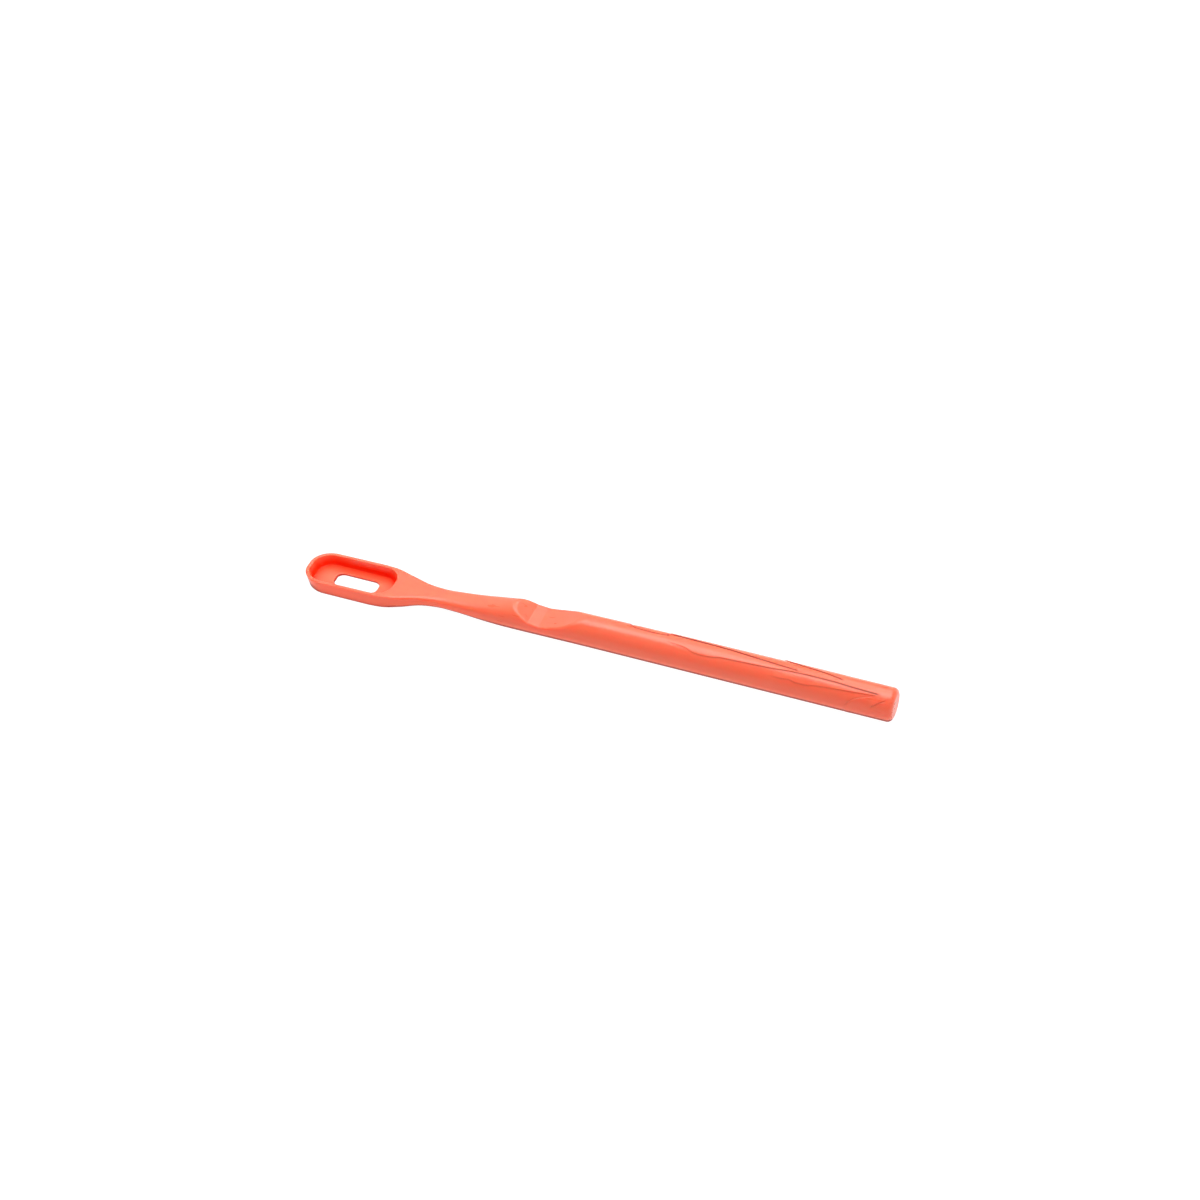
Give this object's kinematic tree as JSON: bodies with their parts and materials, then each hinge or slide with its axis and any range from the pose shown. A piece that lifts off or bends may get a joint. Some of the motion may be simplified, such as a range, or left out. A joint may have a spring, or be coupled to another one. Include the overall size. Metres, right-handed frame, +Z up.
{
  "type": "toothbrush handle",
  "caption": "One-piece moulded toothbrush handle with an open oval socket for a replaceable head, a slim neck, a scooped thumb rest and a round tapering grip.",
  "frame": {"origin": "middle of the bounding box's underside: half way along the length, on the surface that the handle rests on", "axes": "+X along the handle towards the rounded tail, with the head socket at -X; +Z up, towards the socket's open side; +Y across the handle"},
  "size_m": [0.175, 0.0134, 0.0095],
  "materials": {
    "handle_plastic": "semi-gloss coral injection-moulded bioplastic, slightly translucent at thin walls"
  },
  "bodies": {
    "root": {"handle": "handle_plastic"}
  },
  "joints": []
}
